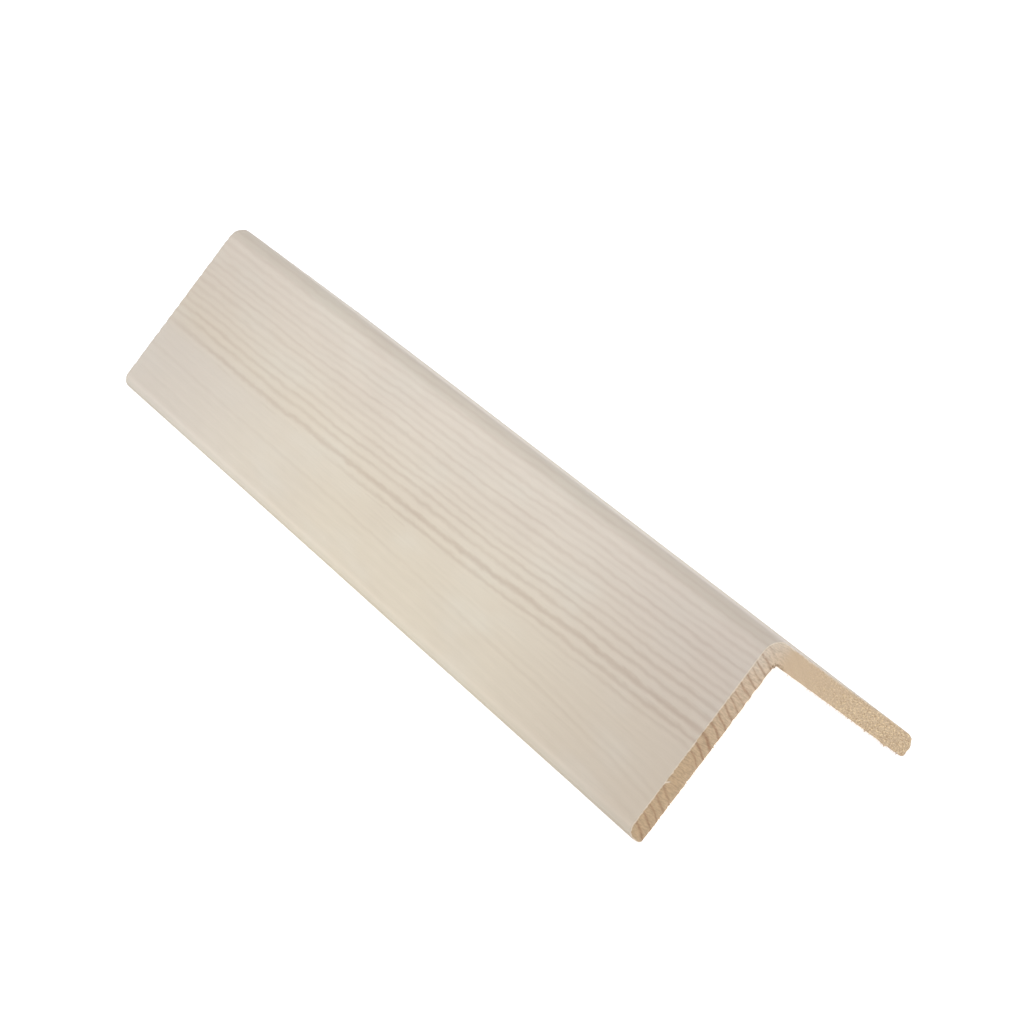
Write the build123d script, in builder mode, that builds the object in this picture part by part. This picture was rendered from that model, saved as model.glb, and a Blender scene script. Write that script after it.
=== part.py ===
"""Pine edge trim: a moulded angle for covering an outside corner.

One length of solid pine, planed to an L section with two equal legs at a right angle. The outer corner
is well rounded, the free edge of each leg is rounded towards the face and only eased towards the back,
and the inside corner keeps the small radius of the cutter. Both ends are sawn square.

It stands as it lies on a table: on the eased back arrises of its two free edges, rounded corner up.
Millimetres, +Z up, +X along the grain. The origin is on the floor, under the middle of the ridge.
"""

import os
from math import sqrt

from build123d import *

# Stock
length = 300.0  # along the grain, sawn square at both ends
leg_width = 60.0  # from the sharp outer corner to the free edge
leg_thickness = 6.0

# Moulded edges
ridge_radius = 5.0  # outer corner
face_radius = 3.5  # free edge, towards the face
back_ease = 1.4  # free edge, towards the back: the trim rests on these two
inside_radius = 1.0  # inside corner, left by the cutter

# With the ridge straight up each leg leans 45 degrees, and the two back arrises touch the floor.
lean = 1 / sqrt(2)  # both the sine and the cosine of 45 degrees
ridge_height = (leg_width + leg_thickness - 2 * back_ease) * lean + back_ease  # of the sharp corner

# The section's origin is the sharp outer corner, with one leg along its x and the other along its y.
section_plane = Plane(
    origin=(-length / 2, 0, ridge_height),
    x_dir=(0, -lean, -lean),
    z_dir=(1, 0, 0),
)

with BuildPart() as edge_trim:
    with BuildSketch(section_plane):
        with BuildLine():
            Polyline(
                (0, 0),
                (leg_width, 0),
                (leg_width, leg_thickness),
                (leg_thickness, leg_thickness),
                (leg_thickness, leg_width),
                (0, leg_width),
                close=True,
            )
        make_face()
    extrude(amount=length)

    # Sorted outwards from the ridge: ridge, inside corner, two face arrises, two back arrises.
    arrises = edges().filter_by(Axis.X).sort_by_distance(section_plane.origin)
    fillet(arrises[0], radius=ridge_radius)
    fillet(arrises[1], radius=inside_radius)
    fillet(arrises[2:4], radius=face_radius)
    fillet(arrises[4:6], radius=back_ease)

edge_trim.part.label = "edge_trim"

os.makedirs("parts", exist_ok=True)
export_step(edge_trim.part, "parts/edge_trim.step")
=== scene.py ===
import math
import random
from bisect import bisect_right

import bmesh
import bpy
from mathutils import Matrix, Quaternion, Vector, noise


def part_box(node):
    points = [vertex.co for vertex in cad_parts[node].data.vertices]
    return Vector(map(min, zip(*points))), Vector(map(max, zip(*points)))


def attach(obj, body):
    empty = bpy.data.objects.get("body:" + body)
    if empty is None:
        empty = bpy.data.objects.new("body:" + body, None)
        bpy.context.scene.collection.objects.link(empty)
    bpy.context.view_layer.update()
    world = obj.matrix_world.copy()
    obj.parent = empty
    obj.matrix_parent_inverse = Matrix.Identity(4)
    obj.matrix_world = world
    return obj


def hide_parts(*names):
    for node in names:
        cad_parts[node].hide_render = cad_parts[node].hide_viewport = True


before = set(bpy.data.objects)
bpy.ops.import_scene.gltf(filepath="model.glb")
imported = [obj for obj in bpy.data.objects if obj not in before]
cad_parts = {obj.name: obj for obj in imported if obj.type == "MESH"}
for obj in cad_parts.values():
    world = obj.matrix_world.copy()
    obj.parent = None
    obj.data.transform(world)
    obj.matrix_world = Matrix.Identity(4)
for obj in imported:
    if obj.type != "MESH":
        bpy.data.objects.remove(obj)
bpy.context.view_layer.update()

mm = 0.001
endTouch = 0.001            # mm, how near a vertex lies to count as on a sawn end


# Shape of the trim

trim = {
    "legWidth": 60.0,       # mm, from the sharp outer corner to the free edge
    "legThickness": 6.0,
    "ridgeRadius": 5.0,
    "faceRadius": 3.5,      # free edge, towards the face
    "backEase": 1.4,        # free edge, towards the back
    "insideRadius": 1.0,
    "cell": 0.5,            # mm, mesh cell across the grain
    "alongCuts": 136,       # cuts along the grain
    "endCrowding": 0.42,    # how much closer the cuts lie near the two ends
}

trimLow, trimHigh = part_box("edge_trim")
trimLength = (trimHigh.x - trimLow.x) / mm
lean = math.sqrt(0.5)
ridgeHeight = (trim["legWidth"] + trim["legThickness"] - 2 * trim["backEase"]) * lean + trim["backEase"]

# The section is drawn in mm: x down the leg that faces -Y, y down the leg that faces +Y, z along the grain.
sectionToRow = Matrix((
    (0, 0, mm, 0),
    (-lean * mm, lean * mm, 0, 0),
    (-lean * mm, -lean * mm, 0, ridgeHeight * mm),
    (0, 0, 0, 1),
))


def smooth(low, high, value):
    t = min(max((value - low) / (high - low), 0.0), 1.0)
    return t * t * (3 - 2 * t)


# Growth rings

rings = {
    "pith": (116.0, -33.0),  # mm, centre of the log in the section
    "lines": [               # mm from the ridge on the near end of the -Y face, and how dark the line is
        (-34.0, 0.4), (-31.0, 0.5), (-28.0, 0.3), (-24.6, 0.6), (-21.2, 0.5), (-18.1, 0.35),
        (-15.0, 0.6), (-12.2, 0.4), (-9.3, 0.3), (-6.6, 0.45), (-4.0, 0.3), (-1.5, 0.3),
        (1.2, 0.3), (3.4, 0.25), (6.0, 0.35), (8.2, 0.38), (9.9, 0.18), (11.9, 0.5),
        (14.6, 0.44), (17.0, 0.3), (19.1, 0.36), (21.5, 0.45), (24.0, 0.58), (26.7, 0.54),
        (30.0, 0.78), (32.8, 0.6), (34.9, 0.34), (37.4, 0.0), (39.8, 0.0), (42.3, 0.02),
        (45.6, 0.04), (48.2, 0.12), (50.4, 0.2), (53.0, 0.03), (56.0, 0.08), (58.8, 0.0),
        (62.0, 0.0),
    ],
    "runsOut": {30.0: 325, 32.8: 215, 34.9: 105, 48.2: 130, 56.0: 60},  # mm from the near end
    "runOutLength": 60,     # mm over which such a line fades
    "endDark": {45.6: 0.25, 48.2: 0.35, 50.4: 0.45, 53.0: 0.5, 56.0: 0.6, 58.8: 0.35},  # on the sawn ends
    "nearGain": 1.12,       # how much darker the lines are at the near end
    "nearReach": (15, 60),  # mm from the near end, where that starts to fade and is gone
    "farGain": 0.80,
    "farReach": (150, 240),
    "slopeAway": 6.2,       # mm that the lines near the ridge slope away from it over the whole length
    "slopeStep": 0.13,      # share of that slope which is taken early, and given back at the far end
    "stepReach": (55, 115, 235),  # mm from the near end, where the step starts, is full and is given back
    "slopeBack": 5.6,       # mm that the lines near the free edge slope back
    "slopeBackOver": 80,    # mm from the near end, where two thirds of that are done
    "slopesMeet": (37, 43),  # mm from the ridge
    "waves": [              # mm of height, mm along and across the grain, and two shifts of the noise
        (0.34, 17, 5, 0, 0),
        (0.68, 60, 14, 7, 0),
        (0.22, 7, 3, 0, 5),
    ],
    "phase": 1.3,           # radians by which the colour of a line comes before its count
    "jitterScale": 0.5,     # per mm
}
linePlaces = [place for place, _ in rings["lines"]]


# Gives the ring count, the darkness of the nearest line, and the mm to it.
def ringsAt(a, b, z):
    fromEnd = trimLength / 2 - z
    stepNear, stepFull, stepFar = rings["stepReach"]
    step = smooth(stepNear, stepFull, fromEnd) - smooth(stepFar, trimLength, fromEnd)
    away = fromEnd / trimLength + rings["slopeStep"] * step
    back = 1 - math.exp(-fromEnd / rings["slopeBackOver"])
    lower = smooth(*rings["slopesMeet"], a)
    place = a - rings["slopeAway"] * away * (1 - lower) + rings["slopeBack"] * back * lower
    for height, along, across, shiftA, shiftB in rings["waves"]:
        at = Vector((z / along, a / across + shiftA, b / across + shiftB))
        place += height * noise.noise(at)
    pithA, pithB = rings["pith"]
    radius = math.hypot(pithA - place, b - pithB)
    place = pithA - math.sqrt(radius * radius - pithB * pithB)
    i = min(max(bisect_right(linePlaces, place) - 1, 0), len(linePlaces) - 2)
    share = (place - linePlaces[i]) / (linePlaces[i + 1] - linePlaces[i])
    mark, dark = rings["lines"][i if share < 0.5 else i + 1]
    dark *= rings["nearGain"] + (1 - rings["nearGain"]) * smooth(*rings["nearReach"], fromEnd)
    dark *= 1 + (rings["farGain"] - 1) * smooth(*rings["farReach"], fromEnd)
    if mark in rings["runsOut"]:
        gone = rings["runsOut"][mark]
        dark *= 1 - smooth(gone - rings["runOutLength"], gone, fromEnd)
    if abs(z) > trimLength / 2 - endTouch:
        dark = max(dark, rings["endDark"].get(mark, 0.0))
    return i + share, dark, abs(place - mark)


# Wood

wood = {
    "grainGroove": 0.05,    # mm, how far the soft wood lies below the hard lines
    "hardLine": 0.7,        # mm to each side of a line, where the wood is hard
    "faceWave": 0.10,       # mm, slow unevenness of the planed faces
    "waveLength": (45, 20),  # mm, along and across the grain
    "sawRough": 0.10,       # mm, roughness of the sawn ends
    "sawGrain": 1.1,        # per mm
    "tornRough": 0.30,      # mm, where the saw tore the +Y leg
    "tornFrom": 12.0,       # mm from the ridge
    "tornOver": 12.0,       # mm on which the tearing grows to full
    "arrisChip": 0.36,      # mm, chips along the sawn arrises
    "chipGrain": 0.6,       # per mm
    "chipLeast": (0.15, 0.1),  # share of a chip that the whole arris loses: off the end, and inwards
    "chipInwards": (0.6, 0.25),  # share of a chip that goes in from the face, and from the back
    "sawnFacing": 0.7,      # how squarely a sawn face looks along the grain, 0 to 1
}


# Pulls a square outside corner of the section in to an arc.
def roundOutside(bm, corner, inward, radius):
    centre = [corner[i] + inward[i] * radius for i in (0, 1)]
    for v in bm.verts:
        p = (centre[0] - v.co.x) * inward[0]
        q = (centre[1] - v.co.y) * inward[1]
        if p > 0 and q > 0:
            pull = max(p, q) / math.hypot(p, q)
            v.co.x = centre[0] - inward[0] * p * pull
            v.co.y = centre[1] - inward[1] * q * pull


# Fills the square inside corner of the section with an arc.
def roundInside(bm, corner, radius, reach):
    for v in bm.verts:
        da, db = v.co.x - corner, v.co.y - corner
        far = max(da, db, 0)
        under = max(-da, -db) if far == 0 else -min(da, db)
        if far < radius and under < reach:
            turn = math.radians(45 + 45 * far / radius)
            fade = 1 - under / reach
            slide = (radius * (1 - math.cos(turn)) - far) * fade
            lift = radius * (1 - math.sin(turn)) * fade
            v.co.x += slide if da >= db else lift
            v.co.y += lift if da >= db else slide


def makeWood():
    width, thick, cell = trim["legWidth"], trim["legThickness"], trim["cell"]
    bm = bmesh.new()
    depthLayer = bm.verts.layers.float.new("underFace")
    ageLayer = bm.verts.layers.float.new("ringAge")
    darkLayer = bm.verts.layers.float.new("lineDark")
    skinLayer = bm.verts.layers.float.new("skin")
    fibreLayer = bm.verts.layers.float.new("fibre")

    # The section is two grids of square cells, which share the corner.
    for low, high in (((0, 0), (width, thick)), ((0, thick), (thick, width))):
        size = (high[0] - low[0], high[1] - low[1])
        place = Matrix.Translation((low[0] + size[0] / 2, low[1] + size[1] / 2, 0))
        bmesh.ops.create_grid(
            bm,
            x_segments=round(size[0] / cell),
            y_segments=round(size[1] / cell),
            size=0.5,
            matrix=place @ Matrix.Diagonal((size[0], size[1], 1, 1)),
        )
    bmesh.ops.remove_doubles(bm, verts=bm.verts, dist=cell / 10)
    for v in bm.verts:
        a, b = v.co.x, v.co.y
        v[depthLayer] = min(a, b, width - a, width - b)
        v[skinLayer] = 1.0 if v.is_boundary else 0.0

    roundOutside(bm, (0, 0), (1, 1), trim["ridgeRadius"])
    roundOutside(bm, (width, 0), (-1, 1), trim["faceRadius"])
    roundOutside(bm, (0, width), (1, -1), trim["faceRadius"])
    roundOutside(bm, (width, thick), (-1, -1), trim["backEase"])
    roundOutside(bm, (thick, width), (-1, -1), trim["backEase"])
    roundInside(bm, thick, trim["insideRadius"], thick / 2)

    # Extruded to length, and cut into short lengths that crowd towards the ends
    grown = bmesh.ops.extrude_face_region(bm, geom=bm.faces[:])["geom"]
    farVerts = [g for g in grown if isinstance(g, bmesh.types.BMVert)]
    bmesh.ops.translate(bm, verts=farVerts, vec=(0, 0, trimLength))
    longEdges = [e for e in bm.edges if abs(e.verts[0].co.z - e.verts[1].co.z) > trimLength / 2]
    bmesh.ops.subdivide_edges(bm, edges=longEdges, cuts=trim["alongCuts"], use_grid_fill=True)
    crowd = trim["endCrowding"]
    half = trimLength / 2
    for v in bm.verts:
        t = v.co.z / half - 1
        v.co.z = half * t * (1 + crowd - crowd * t * t)
    bmesh.ops.recalc_face_normals(bm, faces=bm.faces)
    bm.normal_update()
    print("wood: section extruded,", len(bm.faces), "faces")

    # Relief: everything is taken off the planed shape, nothing is added to it.
    moves = []
    for v in bm.verts:
        a, b, z = v.co
        age, dark, away = ringsAt(a, b, z)
        v[ageLayer] = age
        v[darkLayer] = dark
        onSkin = v[skinLayer] > 0.5
        move = Vector((0, 0, 0))
        if onSkin:
            outwards = Vector((v.normal.x, v.normal.y, 0)).normalized()
            soft = 1 - math.exp(-(away / wood["hardLine"]) ** 2)
            along, across = wood["waveLength"]
            slow = 0.5 + 0.5 * noise.noise(Vector((z / along, a / across, b / across + 3)))
            move -= outwards * (wood["grainGroove"] * soft + wood["faceWave"] * slow)
        if abs(z) > half - endTouch:
            fine = abs(noise.noise(Vector((a * wood["sawGrain"], b * wood["sawGrain"], z))))
            torn = smooth(wood["tornFrom"], wood["tornFrom"] + wood["tornOver"], b)
            depth = wood["sawRough"] * fine + wood["tornRough"] * torn * fine
            if onSkin:
                grain = wood["chipGrain"]
                chip = max(0.0, noise.noise(Vector((a * grain + 11, b * grain, z))))
                leastOff, leastIn = wood["chipLeast"]
                depth += wood["arrisChip"] * (leastOff + chip)
                share = wood["chipInwards"][1 if min(a, b) > thick - cell / 2 else 0]
                move -= outwards * wood["arrisChip"] * share * (leastIn + chip)
            move.z -= math.copysign(depth, z)
        moves.append(move)
    for v, move in zip(bm.verts, moves):
        v.co += move

    fibreMesh = makeFibres()
    bm.from_mesh(fibreMesh)
    bpy.data.meshes.remove(fibreMesh)
    print("wood: relief and fibres added,", len(bm.faces), "faces")

    # 0 glazed faces and edges, 1 sawn ends, 2 bare back
    bm.normal_update()
    for f in bm.faces:
        depth = sum(v[depthLayer] for v in f.verts) / len(f.verts)
        f.smooth = True
        if abs(f.normal.z) > wood["sawnFacing"] or f.verts[0][fibreLayer] > 0.5:
            f.material_index = 1
        elif depth > thick - cell:
            f.material_index = 2
    for e in bm.edges:
        kinds = {f.material_index for f in e.link_faces}
        if 1 in kinds and len(kinds) > 1:
            e.smooth = False

    bm.transform(sectionToRow)
    mesh = bpy.data.meshes.new("edge_trim_wood")
    bm.to_mesh(mesh)
    bm.free()
    piece = bpy.data.objects.new("edge_trim_wood", mesh)
    bpy.context.scene.collection.objects.link(piece)
    return piece


# Torn fibres on the sawn arrises

fibres = {
    "seed": 7,
    "innerEdge": {          # along the inner arris of the -Y leg
        "count": 150,
        "margins": (1, 2),  # mm left free beside the inside corner, and beside the free edge
        "crowding": 0.6,    # below 1 they crowd towards the free edge
        "sunk": 0.1,        # mm that the roots lie in the wood
        "slant": (-0.2, 0.9),  # mm down the leg for each mm away from it
        "downY": False,
    },
    "tornLeg": {            # along the inner arris of the +Y leg
        "count": 70,
        "margins": (4, 2),
        "crowding": 0.5,
        "sunk": 0.1,
        "slant": (-0.5, 0.8),
        "downY": True,
    },
    "burrs": {              # short thick ones on the -Y leg
        "count": 16,
        "margins": (14, 3),
        "crowding": 0.6,
        "sunk": 0.15,
        "slant": (-0.6, 0.6),
        "downY": False,
    },
    "cornerCount": 26,
    "cornerOut": (0.15, 0.3),  # mm out from the inside corner, the least and what is added at random
    "splinter": (7.5, 0.4),  # mm from the free edge of the +Y leg, and its slant
    "length": (0.25, 0.8),  # mm
    "radius": (0.07, 0.16),
    "burrLength": (0.35, 0.7),
    "burrRadius": (0.35, 0.8),
    "fromEnd": (0.25, 0.6),  # mm from the sawn end to the roots
    "lean": (-0.3, 0.15),   # mm along the grain for each mm out
    "rooted": 0.3,          # mm of a fibre that the wood hides
    "tip": 0.2,             # share of the radius that is left at the tip
    "inside": 0.05,         # mm that all of them stay behind the sawn end
}


# Draws a root on the inner arris of a leg, and the way its fibre points.
def drawRoot(rng, kind, side):
    settings = fibres[kind]
    low = trim["legThickness"] + settings["margins"][0]
    high = trim["legWidth"] - settings["margins"][1]
    down = low + (high - low) * rng.random() ** settings["crowding"]
    slant = rng.uniform(*settings["slant"])
    deep = trim["legThickness"] - settings["sunk"]
    if settings["downY"]:
        return Vector((deep, down, side)), Vector((1, slant, 0))
    return Vector((down, deep, side)), Vector((slant, 1, 0))


def makeFibres():
    rng = random.Random(fibres["seed"])
    thick, width = trim["legThickness"], trim["legWidth"]
    half = trimLength / 2
    roots = []
    for side in (1, -1):
        for _ in range(fibres["innerEdge"]["count"]):
            roots.append(drawRoot(rng, "innerEdge", side))
        for _ in range(fibres["cornerCount"]):
            turn = rng.random() * math.pi / 2
            at = thick + fibres["cornerOut"][0] + fibres["cornerOut"][1] * rng.random()
            roots.append((Vector((at, at, side)), Vector((math.cos(turn), math.sin(turn), 0))))
        for _ in range(fibres["tornLeg"]["count"]):
            roots.append(drawRoot(rng, "tornLeg", side))

    fine = len(roots)
    fromEdge, slant = fibres["splinter"]
    deep = thick - fibres["burrs"]["sunk"]
    for side in (1, -1):
        for _ in range(fibres["burrs"]["count"]):
            roots.append(drawRoot(rng, "burrs", side))
        roots.append((Vector((deep, width - fromEdge, side)), Vector((1, slant, 0))))

    bm = bmesh.new()
    for name in ("fibre", "underFace", "ringAge", "lineDark"):
        bm.verts.layers.float.new(name)
    fibreLayer, depthLayer, ageLayer, darkLayer = bm.verts.layers.float.values()
    rooted, furthest = fibres["rooted"], half - fibres["inside"]
    for i, (root, direction) in enumerate(roots):
        side = root.z
        root.z = side * (half - rng.uniform(*fibres["fromEnd"]))
        length = rng.uniform(*fibres["length"]) * rng.random() ** 0.5
        radius = rng.uniform(*fibres["radius"])
        if i >= fine:
            length = rng.uniform(*fibres["burrLength"])
            radius = rng.uniform(*fibres["burrRadius"])
            root.z = side * (half - radius)
        direction.z = side * rng.uniform(*fibres["lean"])
        direction.normalize()
        turned = Vector((0, 0, 1)).rotation_difference(direction).to_matrix().to_4x4()
        made = bmesh.ops.create_cone(
            bm,
            cap_ends=True,
            segments=4,
            radius1=radius,
            radius2=radius * fibres["tip"],
            depth=length + rooted,
            matrix=Matrix.Translation(root + direction * (length - rooted) / 2) @ turned,
        )
        age, dark, _ = ringsAt(*root)
        for v in made["verts"]:
            v[fibreLayer] = 1.0
            v[ageLayer] = age
            v[darkLayer] = dark
            v[depthLayer] = thick
            v.co.z = max(min(v.co.z, furthest), -furthest)
    mesh = bpy.data.meshes.new("fibres")
    bm.to_mesh(mesh)
    bm.free()
    return mesh


# Colours as they are seen, 0 to 255

colours = {
    "glazeRidge": (219, 209, 196),
    "glazeTip": (215, 204, 185),
    "glazeMilk": (220, 215, 202),
    "glazeCool": (215, 208, 200),
    "lineTint": (232, 224, 221),
    # pink of the glaze, which towards both ends is also painted shade
    "pinkAndEndShadeTint": (239, 235, 236),
    # painted shade on the ridge's rounding
    "ridgeShadeTint": (250, 250, 249),
    # painted shade on the free edge's rounding
    "edgeShadeTint": (231, 232, 229),
    # painted shade on the free edge's underside
    "underShadeTint": (236, 233, 228),
    "endRidge": (199, 178, 154),
    "endTip": (183, 158, 127),
    "endLine": (138, 101, 75),
    "endBare": (196, 173, 145),
    "endFleck": (230, 208, 167),
    "endSpeck": (168, 138, 106),
    "endRim": (224, 212, 194),
    "endSoaked": (210, 203, 190),
    "endBrown": (116, 90, 58),
    "backLight": (226, 208, 178),
    "backLine": (202, 172, 136),
}


def linear(name):
    channels = [c / 255 for c in colours[name]]
    return [c / 12.92 if c <= 0.04045 else ((c + 0.055) / 1.055) ** 2.4 for c in channels] + [1.0]


def addNode(tree, kind, inputs=None, **settings):
    node = tree.nodes.new(kind)
    for key, value in settings.items():
        setattr(node, key, value)
    for key, value in (inputs or {}).items():
        if isinstance(value, bpy.types.NodeSocket):
            tree.links.new(value, node.inputs[key])
        else:
            node.inputs[key].default_value = value
    return node


def mixColour(tree, factor, first, second, blend="MIX"):
    inputs = {0: factor, 6: first, 7: second}
    return addNode(tree, "ShaderNodeMix", inputs, data_type="RGBA", blend_type=blend).outputs[2]


def maths(tree, operation, first, second=0.0):
    return addNode(tree, "ShaderNodeMath", {0: first, 1: second}, operation=operation).outputs[0]


def multiplyAdd(tree, value, factor, added):
    inputs = {0: value, 1: factor, 2: added}
    return addNode(tree, "ShaderNodeMath", inputs, operation="MULTIPLY_ADD").outputs[0]


def remap(tree, value, low, high, toLow=0.0, toHigh=1.0):
    inputs = {"Value": value, "From Min": low, "From Max": high, "To Min": toLow, "To Max": toHigh}
    return addNode(tree, "ShaderNodeMapRange", inputs, interpolation_type="SMOOTHSTEP").outputs[0]


def noiseAt(tree, vector, scale, stretch=(1, 1, 1), detail=2.0, rough=0.5):
    stretched = addNode(tree, "ShaderNodeMapping", {"Vector": vector, "Scale": stretch}).outputs[0]
    inputs = {"Vector": stretched, "Scale": scale, "Detail": detail, "Roughness": rough}
    return addNode(tree, "ShaderNodeTexNoise", inputs).outputs[0]


# Noise with its levels stretched into a mask
def noiseMask(tree, vector, scale, levels, values=(0.0, 1.0), **settings):
    return remap(tree, noiseAt(tree, vector, scale, **settings), *levels, *values)


def newGroup(name, inputs, outputs):
    group = bpy.data.node_groups.new(name, "ShaderNodeTree")
    for label, kind in inputs:
        group.interface.new_socket(name=label, in_out="INPUT", socket_type="NodeSocket" + kind)
    for label, kind in outputs:
        group.interface.new_socket(name=label, in_out="OUTPUT", socket_type="NodeSocket" + kind)
    return group, group.nodes.new("NodeGroupInput"), group.nodes.new("NodeGroupOutput")


def useGroup(tree, group, inputs=None):
    return addNode(tree, "ShaderNodeGroup", inputs, node_tree=group)


# Section coordinates in mm, x along the grain, y and z down the two legs
def makeSectionGroup():
    group, _, out = newGroup("sectionPlace", [], [("Place", "Vector")])
    coords = addNode(group, "ShaderNodeTexCoord")
    offset = lean * ridgeHeight
    place = addNode(group, "ShaderNodeMapping", {
        "Vector": coords.outputs["Object"],
        "Scale": (1 / mm, 1 / mm, 1 / mm),
        "Rotation": (math.radians(135), 0, 0),
        "Location": (0, offset, offset),
    })
    group.links.new(place.outputs[0], out.inputs["Place"])
    return group


# The dark line at the end of each year's growth
def makeRingGroup():
    group, inputs, out = newGroup(
        "ringLines",
        [("Place", "Vector"), ("Thinness", "Float"), ("Fade", "Float"), ("Waver", "Float")],
        [("Line", "Float"), ("Dark Line", "Float")],
    )
    age = addNode(group, "ShaderNodeAttribute", attribute_name="ringAge").outputs["Fac"]
    dark = addNode(group, "ShaderNodeAttribute", attribute_name="lineDark").outputs["Fac"]
    jitter = noiseAt(group, inputs.outputs["Place"], rings["jitterScale"], stretch=(0.5, 1, 1))
    turn = maths(group, "MULTIPLY", age, 2 * math.pi)
    turn = multiplyAdd(group, maths(group, "SUBTRACT", jitter, 0.5), inputs.outputs["Waver"], turn)
    turn = maths(group, "ADD", turn, rings["phase"])
    wave = multiplyAdd(group, maths(group, "COSINE", turn), 0.5, 0.5)
    line = maths(group, "POWER", wave, inputs.outputs["Thinness"])
    faded = maths(group, "MULTIPLY", maths(group, "MULTIPLY", line, dark), inputs.outputs["Fade"])
    group.links.new(line, out.inputs["Line"])
    group.links.new(faded, out.inputs["Dark Line"])
    return group


# Fine streaks along the grain
def makeStreakGroup():
    group, inputs, out = newGroup(
        "grainStreaks",
        [("Place", "Vector"), ("Fineness", "Float")],
        [("Streak", "Float")],
    )
    place, fine = inputs.outputs["Place"], inputs.outputs["Fineness"]
    streak = noiseAt(group, place, fine, stretch=(0.03, 1, 1), detail=4, rough=0.6)
    group.links.new(streak, out.inputs["Streak"])
    return group


def newMaterial(name):
    material = bpy.data.materials.new(name)
    material.use_nodes = True
    tree = material.node_tree
    tree.nodes.clear()
    output = tree.nodes.new("ShaderNodeOutputMaterial")
    shader = tree.nodes.new("ShaderNodeBsdfPrincipled")
    tree.links.new(shader.outputs[0], output.inputs[0])
    return material, tree, shader


def setBump(tree, shader, height, distance):
    bump = addNode(tree, "ShaderNodeBump", {"Height": height, "Distance": distance * mm})
    tree.links.new(bump.outputs[0], shader.inputs["Normal"])


glaze = {
    "tipColour": (0, 50),   # mm from the ridge, where the free edge's colour starts and is full
    "milk": {"scale": 0.07, "stretch": (0.4, 1, 1.2), "levels": (0.45, 0.75), "values": (0, 0.35)},
    "cool": 0.52,           # at the far end, below the lines
    "coolFar": (0, -140),   # mm along the grain, where it starts and is full
    "coolDown": (30, 40),   # mm from the ridge, the same
    "pinkEndShade": (0.85, 0.4),    # near end, far end: pink, and painted shade where the light falls off towards the ends
    "pinkEndShadeNear": (45, 150),  # mm along the grain, where the pink and painted shade of the near end start and are full
    "pinkEndShadeFar": (-50, -147),
    "pinkEndShadeAtRidge": 0.55,    # share of it that is left at the ridge
    "pinkEndShadeDown": (0, 14),    # mm from the ridge, where it starts to grow and is full
    "pinkPatch": {"scale": 0.045, "stretch": (0.5, 1, 1), "levels": (0.4, 0.65), "values": (0, 0.18)},
    "ridgeShadeReach": (4.1, 3.1),  # mm from the ridge, where the painted shade on the ridge's rounding starts and is full
    "edge": (2.8, 1.2),     # mm from the free edge, where the painted shade on its rounding starts and is full
    "shadeUnder": (1.2, 0.6),  # mm from the free edge, where the painted shade of its underside, towards the back, starts and is full
    "lineStrength": 0.95,
    "lineThinness": (2.1, 1.2),  # of the faint lines, of the dark ones
    "thinnessFor": (0.6, 0.85),  # darkness of a faint line, of a dark one
    "lineWaver": 2.6,
    "lineFade": {           # how the lines come and go along the grain
        "scale": 0.09, "stretch": (0.4, 3, 1), "detail": 5, "rough": 0.65,
        "levels": (0.3, 0.6), "values": (0.6, 1.05),
    },
    "steady": 0.9,          # what the dark lines keep at least
    "steadyFor": (0.45, 0.6),  # darkness of a line, where that starts and is full
    "fineness": 3.0,        # streaks per mm
    "streakLevels": (0.3, 0.7),
    "streakShade": (0.982, 1.018),
    "roughness": (0.50, 0.60),
    "specular": 0.35,
    "bump": 0.02,           # mm
    "lineBump": 0.5,        # height of a line beside that of a streak
}


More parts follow.
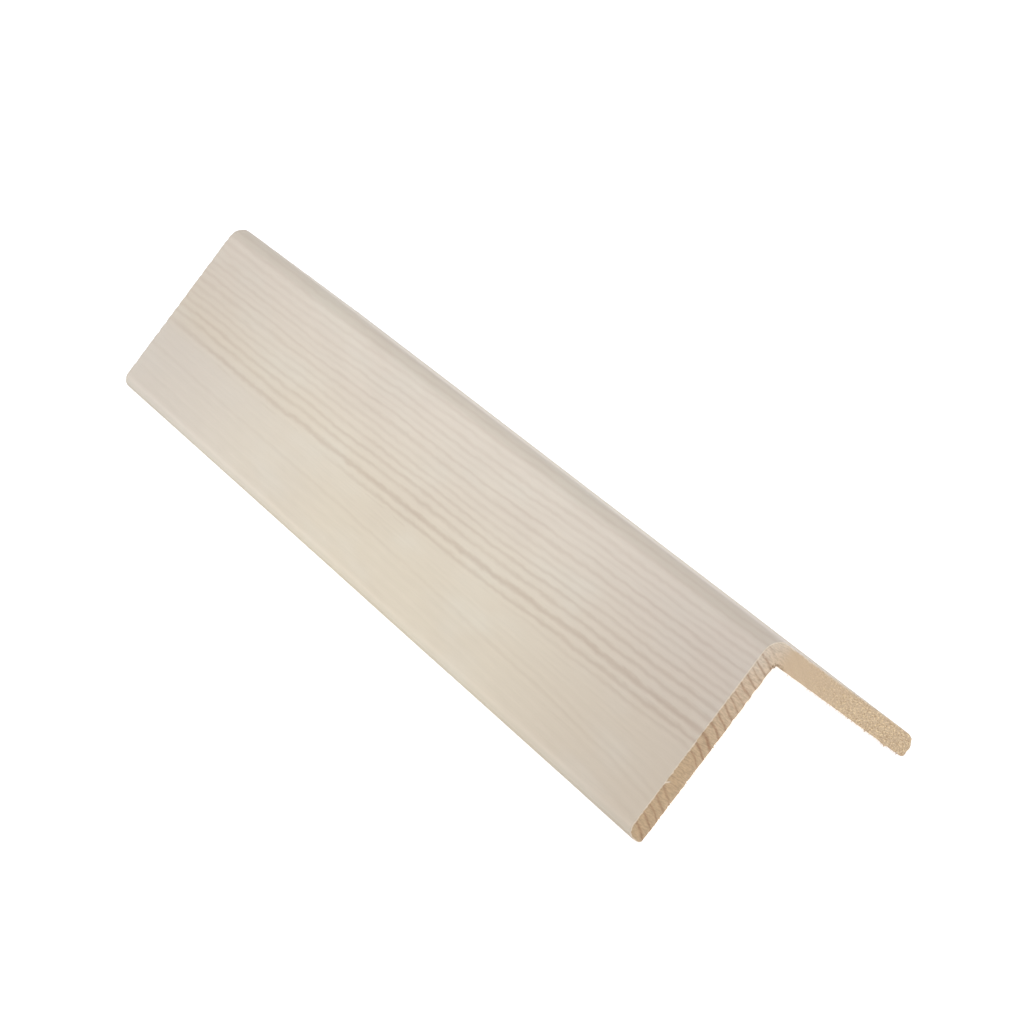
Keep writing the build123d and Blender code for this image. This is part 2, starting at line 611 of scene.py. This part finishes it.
def makeGlazed(sectionGroup, ringGroup, streakGroup):
    material, tree, shader = newMaterial("glazedPine")
    place = useGroup(tree, sectionGroup).outputs[0]
    split = addNode(tree, "ShaderNodeSeparateXYZ", {0: place})
    grainway = split.outputs["X"]
    down = maths(tree, "MAXIMUM", split.outputs["Y"], split.outputs["Z"])
    tip = remap(tree, down, *glaze["tipColour"])
    colour = mixColour(tree, tip, linear("glazeRidge"), linear("glazeTip"))
    colour = mixColour(tree, noiseMask(tree, place, **glaze["milk"]), colour, linear("glazeMilk"))
    cool = remap(tree, grainway, *glaze["coolFar"], 0, glaze["cool"])
    cool = maths(tree, "MULTIPLY", cool, remap(tree, down, *glaze["coolDown"]))
    colour = mixColour(tree, cool, colour, linear("glazeCool"))

    # Pink in slow patches, pink with painted shade towards both ends, and painted shade on the ridge's
    # rounding and on the free edge
    # pink with painted shade towards both ends, more at the near end, less at the ridge
    near = remap(tree, grainway, *glaze["pinkEndShadeNear"], 0, glaze["pinkEndShade"][0])
    far = remap(tree, grainway, *glaze["pinkEndShadeFar"], 0, glaze["pinkEndShade"][1])
    ends = maths(tree, "MAXIMUM", near, far)
    ends = maths(tree, "MULTIPLY", ends, remap(tree, down, *glaze["pinkEndShadeDown"], glaze["pinkEndShadeAtRidge"]))
    pinkEndShade = maths(tree, "MAXIMUM", noiseMask(tree, place, **glaze["pinkPatch"]), ends)
    colour = mixColour(tree, pinkEndShade, colour, linear("pinkAndEndShadeTint"), "MULTIPLY")
    # painted shade on the ridge's rounding, which turns away from the key light
    ridgeShade = remap(tree, down, *glaze["ridgeShadeReach"])
    colour = mixColour(tree, ridgeShade, colour, linear("ridgeShadeTint"), "MULTIPLY")
    # painted shade on the free edge's rounding, and more painted shade on its underside
    for reach, tint in (("edge", "edgeShadeTint"), ("shadeUnder", "underShadeTint")):
        start, full = (trim["legWidth"] - fromEdge for fromEdge in glaze[reach])
        colour = mixColour(tree, remap(tree, down, start, full), colour, linear(tint), "MULTIPLY")

    # Ring lines
    dark = addNode(tree, "ShaderNodeAttribute", attribute_name="lineDark").outputs["Fac"]
    fade = noiseMask(tree, place, **glaze["lineFade"])
    fade = maths(tree, "MAXIMUM", fade, remap(tree, dark, *glaze["steadyFor"], 0, glaze["steady"]))
    ring = useGroup(tree, ringGroup, {
        "Place": place,
        "Thinness": remap(tree, dark, *glaze["thinnessFor"], *glaze["lineThinness"]),
        "Fade": fade,
        "Waver": glaze["lineWaver"],
    })
    line = maths(tree, "MULTIPLY", ring.outputs["Dark Line"], glaze["lineStrength"])
    colour = mixColour(tree, line, colour, linear("lineTint"), "MULTIPLY")

    streak = useGroup(tree, streakGroup, {"Place": place, "Fineness": glaze["fineness"]}).outputs[0]
    shade = remap(tree, streak, *glaze["streakLevels"], *glaze["streakShade"])
    colour = mixColour(tree, 1.0, colour, shade, "MULTIPLY")
    tree.links.new(colour, shader.inputs["Base Color"])

    roughness = remap(tree, streak, *glaze["streakLevels"], *glaze["roughness"])
    tree.links.new(roughness, shader.inputs["Roughness"])
    shader.inputs["Specular IOR Level"].default_value = glaze["specular"]
    height = multiplyAdd(tree, ring.outputs["Line"], glaze["lineBump"], streak)
    setBump(tree, shader, height, glaze["bump"])
    return material


sawn = {
    "tipColour": (6, 40),   # mm down the -Y leg, where the free edge's colour starts and is full
    "bareColour": (3, 10),  # mm down the +Y leg, the same for the bare wood's
    "torn": (-10, 38),      # mm past the start of the tearing, where its flecks start and are full
    "soaked": (0.1, 0.34),  # glaze drawn into the end grain beside the ridge, deep in and at the face
    "soakedDepth": (4.5, 0.5),  # mm under the face, for these two
    "soakedAlong": (13, 7),  # mm down the -Y leg, where it starts and is full
    "soakedAcross": (9, 4),  # mm down the +Y leg, the same
    "lineStrength": (0.08, 0.80),  # on the +Y leg, on the -Y leg
    "lineThinness": (12.0, 6.0),  # of the faint lines, of the dark ones
    "thinnessFor": (0.6, 0.9),  # darkness of a faint line, of a dark one
    "lineWaver": 1.4,
    "lineSlant": 0.62,      # mm down the -Y leg for each mm through it, where the lines start
    "linesFrom": (1.4, 2.8),  # mm down the -Y leg, where they start and are full
    "lineSoftness": 0.5,    # below 1 the faint lines come up
    "broken": {"scale": 0.9, "rough": 0.6, "levels": (0.3, 0.55), "values": (0.4, 1.0)},
    "sawStreaks": {
        "scale": 2.4, "stretch": (1, 1, 0.22), "detail": 3, "rough": 0.7,
        "levels": (0.3, 0.7), "values": (0.81, 1.15),
    },
    "streaksAcross": (10, 6),  # mm down the +Y leg, where they start and are full
    "flecks": {
        "scale": 1.9, "stretch": (1, 1.3, 0.9), "detail": 3, "rough": 0.75,
        "levels": (0.51, 0.59), "values": (0, 1.0),
    },
    "specks": {
        "scale": 2.4, "stretch": (1, 1.3, 0.8), "detail": 2, "rough": 0.6,
        "levels": (0.54, 0.63), "values": (0, 0.95),
    },
    "brown": (0.0, 0.9),
    "brownReach": (4.4, 1.5),  # mm from the inside corner, where the brown starts and is full
    "brownRagged": 2.0,     # mm, how unevenly it reaches in from the inner arris
    "brownGrain": 2.2,      # per mm
    "brownBlur": 0.5,       # mm
    "brownDots": {"scale": 1.5, "detail": 1, "levels": (0.44, 0.56), "values": (0.15, 1.0)},
    "rim": (1.0, 0.7),      # mm in from the outer arris, where the glaze over it starts and is full
    "rimRagged": 1.0,       # mm, how much of these the unevenness takes at most
    "rimGrain": 1.2,        # per mm
    "rimShare": (0.7, 0.2),  # at the ridge, far down the +Y leg
    "rimAcross": (4, 40),   # mm down the +Y leg, for these two
    "chipPlace": (150.0, 43.9, 0.65),  # mm, the light chip on the near end
    "chipTurn": 124.0,      # degrees
    "chipSize": (20.0, 1.25, 0.3),  # mm
    "chipEdge": (1.1, 0.3),  # share of its size, where it starts and is full
    "chipShare": 0.75,
    "roughness": 0.85,
    "specular": 0.25,
    "bump": 0.10,           # mm
    "bumpNoise": {"scale": 2.2, "detail": 3, "rough": 0.7},
}


def makeSawn(sectionGroup, ringGroup):
    material, tree, shader = newMaterial("sawnPine")
    place = useGroup(tree, sectionGroup).outputs[0]
    split = addNode(tree, "ShaderNodeSeparateXYZ", {0: place})
    along, across = split.outputs["Y"], split.outputs["Z"]
    under = addNode(tree, "ShaderNodeAttribute", attribute_name="underFace").outputs["Fac"]
    tip = remap(tree, along, *sawn["tipColour"])
    colour = mixColour(tree, tip, linear("endRidge"), linear("endTip"))
    colour = mixColour(tree, remap(tree, across, *sawn["bareColour"]), colour, linear("endBare"))
    soaked = remap(tree, under, *sawn["soakedDepth"], *sawn["soaked"])
    soaked = maths(tree, "MULTIPLY", soaked, remap(tree, along, *sawn["soakedAlong"]))
    soaked = maths(tree, "MULTIPLY", soaked, remap(tree, across, *sawn["soakedAcross"]))
    colour = mixColour(tree, soaked, colour, linear("endSoaked"))

    # Ring lines: broken and thin, and lost on the +Y leg
    dark = addNode(tree, "ShaderNodeAttribute", attribute_name="lineDark").outputs["Fac"]
    ring = useGroup(tree, ringGroup, {
        "Place": place,
        "Thinness": remap(tree, dark, *sawn["thinnessFor"], *sawn["lineThinness"]),
        "Fade": noiseMask(tree, place, **sawn["broken"]),
        "Waver": sawn["lineWaver"],
    })
    slant = multiplyAdd(tree, across, -sawn["lineSlant"], along)
    kept = remap(tree, slant, *sawn["linesFrom"], *sawn["lineStrength"])
    line = maths(tree, "POWER", ring.outputs["Dark Line"], sawn["lineSoftness"])
    colour = mixColour(tree, maths(tree, "MULTIPLY", line, kept), colour, linear("endLine"))

    # Saw streaks across the thickness of the -Y leg
    shade = noiseMask(tree, place, **sawn["sawStreaks"])
    shown = remap(tree, across, *sawn["streaksAcross"])
    colour = mixColour(tree, shown, colour, shade, "MULTIPLY")

    # Torn flecks and pores of the +Y leg, stretched along it
    torn = remap(tree, across, *(wood["tornFrom"] + past for past in sawn["torn"]))
    for kind, tint in (("flecks", "endFleck"), ("specks", "endSpeck")):
        shown = maths(tree, "MULTIPLY", noiseMask(tree, place, **sawn[kind]), torn)
        colour = mixColour(tree, shown, colour, linear(tint))

    # Brown torn fibres along the inner arrises beside the inside corner
    thick = trim["legThickness"]
    flat = addNode(tree, "ShaderNodeCombineXYZ", {"Y": along, "Z": across}).outputs[0]
    inputs = {0: flat, 1: (0, thick, thick)}
    far = addNode(tree, "ShaderNodeVectorMath", inputs, operation="DISTANCE").outputs["Value"]
    ragged = multiplyAdd(tree, noiseAt(tree, place, sawn["brownGrain"]), sawn["brownRagged"], under)
    brown = remap(tree, ragged, thick, thick + sawn["brownBlur"])
    brown = maths(tree, "MULTIPLY", brown, remap(tree, far, *sawn["brownReach"], *sawn["brown"]))
    brown = maths(tree, "MULTIPLY", brown, noiseMask(tree, place, **sawn["brownDots"]))
    colour = mixColour(tree, brown, colour, linear("endBrown"))

    # Glaze over the outer arris, and the chip
    ragged = multiplyAdd(tree, noiseAt(tree, place, sawn["rimGrain"]), sawn["rimRagged"], under)
    rim = remap(tree, across, *sawn["rimAcross"], *sawn["rimShare"])
    rim = maths(tree, "MULTIPLY", rim, remap(tree, ragged, *sawn["rim"]))
    colour = mixColour(tree, rim, colour, linear("endRim"))
    chip = addNode(tree, "ShaderNodeMapping", {
        "Vector": place,
        "Location": sawn["chipPlace"],
        "Rotation": (math.radians(sawn["chipTurn"]), 0, 0),
        "Scale": sawn["chipSize"],
    }, vector_type="TEXTURE").outputs[0]
    apart = addNode(tree, "ShaderNodeVectorMath", {0: chip}, operation="LENGTH").outputs["Value"]
    shown = remap(tree, apart, *sawn["chipEdge"], 0, sawn["chipShare"])
    colour = mixColour(tree, shown, colour, linear("endRim"))
    tree.links.new(colour, shader.inputs["Base Color"])

    shader.inputs["Roughness"].default_value = sawn["roughness"]
    shader.inputs["Specular IOR Level"].default_value = sawn["specular"]
    setBump(tree, shader, noiseAt(tree, place, **sawn["bumpNoise"]), sawn["bump"])
    return material


back = {
    "lineStrength": 0.75,
    "lineThinness": 2.0,
    "lineWaver": 2.6,
    "lineSoftness": 0.7,    # below 1 the faint lines come up
    "lineFade": {"scale": 0.06, "stretch": (0.3, 2, 2), "levels": (0.3, 0.6), "values": (0.6, 1.0)},
    "fineness": 3.0,        # streaks per mm
    "streakLevels": (0.3, 0.7),
    "streakShade": (0.94, 1.04),
    "roughness": 0.7,
    "specular": 0.3,
    "bump": 0.04,           # mm
}


def makeBack(sectionGroup, ringGroup, streakGroup):
    material, tree, shader = newMaterial("barePine")
    place = useGroup(tree, sectionGroup).outputs[0]
    ring = useGroup(tree, ringGroup, {
        "Place": place,
        "Thinness": back["lineThinness"],
        "Fade": noiseMask(tree, place, **back["lineFade"]),
        "Waver": back["lineWaver"],
    })
    line = maths(tree, "POWER", ring.outputs["Dark Line"], back["lineSoftness"])
    line = maths(tree, "MULTIPLY", line, back["lineStrength"])
    colour = mixColour(tree, line, linear("backLight"), linear("backLine"))
    streak = useGroup(tree, streakGroup, {"Place": place, "Fineness": back["fineness"]}).outputs[0]
    shade = remap(tree, streak, *back["streakLevels"], *back["streakShade"])
    colour = mixColour(tree, 1.0, colour, shade, "MULTIPLY")
    tree.links.new(colour, shader.inputs["Base Color"])
    shader.inputs["Roughness"].default_value = back["roughness"]
    shader.inputs["Specular IOR Level"].default_value = back["specular"]
    setBump(tree, shader, streak, back["bump"])
    return material


# Studio

studio = {
    "camera": (0.7910, -0.4174, 0.4757),
    "aim": (0.00506, 0.00763, 0.01342),
    "roll": -1.63,          # degrees
    "lens": 128.36,         # mm
    "sensor": 36.0,         # mm
    "clipStart": 0.05,      # m
    "floorSize": 20.0,
    "floorColour": (0.93, 0.93, 0.925, 1.0),
    "floorGlow": 0.68,
    "floorGlowColour": (0.90, 0.92, 1.0, 1.0),
    "floorRoughness": 0.9,
    "floorSpecular": 0.1,
    "worldLight": 0.40,
    "lights": {
        "key": {"kind": "AREA", "place": (-0.05, -0.36, 0.24), "size": 0.30, "power": 0.78},
        "front": {"kind": "AREA", "place": (1.1, -0.1, 0.35), "size": 0.8, "power": 1.7},
        "sky": {"kind": "SUN", "place": (0.0, 1.6, 2.0), "size": 1.0, "power": 1.25},
    },
}


def addLight(name, settings, aim):
    light = bpy.data.lights.new(name + "Light", settings["kind"])
    light.energy = settings["power"]
    if settings["kind"] == "AREA":
        light.shape = "DISK"
        light.size = settings["size"]
    else:
        light.angle = settings["size"]
    lamp = bpy.data.objects.new(name + "Light", light)
    lamp.location = settings["place"]
    lamp.rotation_mode = "QUATERNION"
    lamp.rotation_quaternion = (aim - lamp.location).to_track_quat("-Z", "Y")
    lamp.visible_camera = False
    bpy.context.scene.collection.objects.link(lamp)


def makeStudio():
    scene = bpy.context.scene
    aim = Vector(studio["aim"])
    camera = bpy.data.objects.new("camera", bpy.data.cameras.new("camera"))
    camera.data.lens = studio["lens"]
    camera.data.sensor_width = studio["sensor"]
    camera.data.clip_start = studio["clipStart"]
    camera.location = studio["camera"]
    camera.rotation_mode = "QUATERNION"
    roll = Quaternion((0, 0, 1), math.radians(studio["roll"]))
    camera.rotation_quaternion = (aim - camera.location).to_track_quat("-Z", "Y") @ roll
    scene.collection.objects.link(camera)
    scene.camera = camera

    for name, settings in studio["lights"].items():
        addLight(name, settings, aim)

    world = bpy.data.worlds.new("studioWorld")
    world.use_nodes = True
    background = world.node_tree.nodes["Background"]
    background.inputs["Color"].default_value = (1, 1, 1, 1)
    background.inputs["Strength"].default_value = studio["worldLight"]
    scene.world = world
    scene.view_settings.view_transform = "Standard"

    bm = bmesh.new()
    bmesh.ops.create_grid(bm, x_segments=1, y_segments=1, size=studio["floorSize"] / 2)
    mesh = bpy.data.meshes.new("floor")
    bm.to_mesh(mesh)
    bm.free()
    floor = bpy.data.objects.new("floor", mesh)
    scene.collection.objects.link(floor)
    material, _, shader = newMaterial("paleFloor")
    shader.inputs["Base Color"].default_value = studio["floorColour"]
    shader.inputs["Emission Color"].default_value = studio["floorGlowColour"]
    shader.inputs["Emission Strength"].default_value = studio["floorGlow"]
    shader.inputs["Roughness"].default_value = studio["floorRoughness"]
    shader.inputs["Specular IOR Level"].default_value = studio["floorSpecular"]
    mesh.materials.append(material)


piece = makeWood()
print("wood: shaped")
sectionGroup, ringGroup, streakGroup = makeSectionGroup(), makeRingGroup(), makeStreakGroup()
piece.data.materials.append(makeGlazed(sectionGroup, ringGroup, streakGroup))
piece.data.materials.append(makeSawn(sectionGroup, ringGroup))
piece.data.materials.append(makeBack(sectionGroup, ringGroup, streakGroup))
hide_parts("edge_trim")
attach(piece, "root")
print("materials: done")

makeStudio()
print("studio: done")
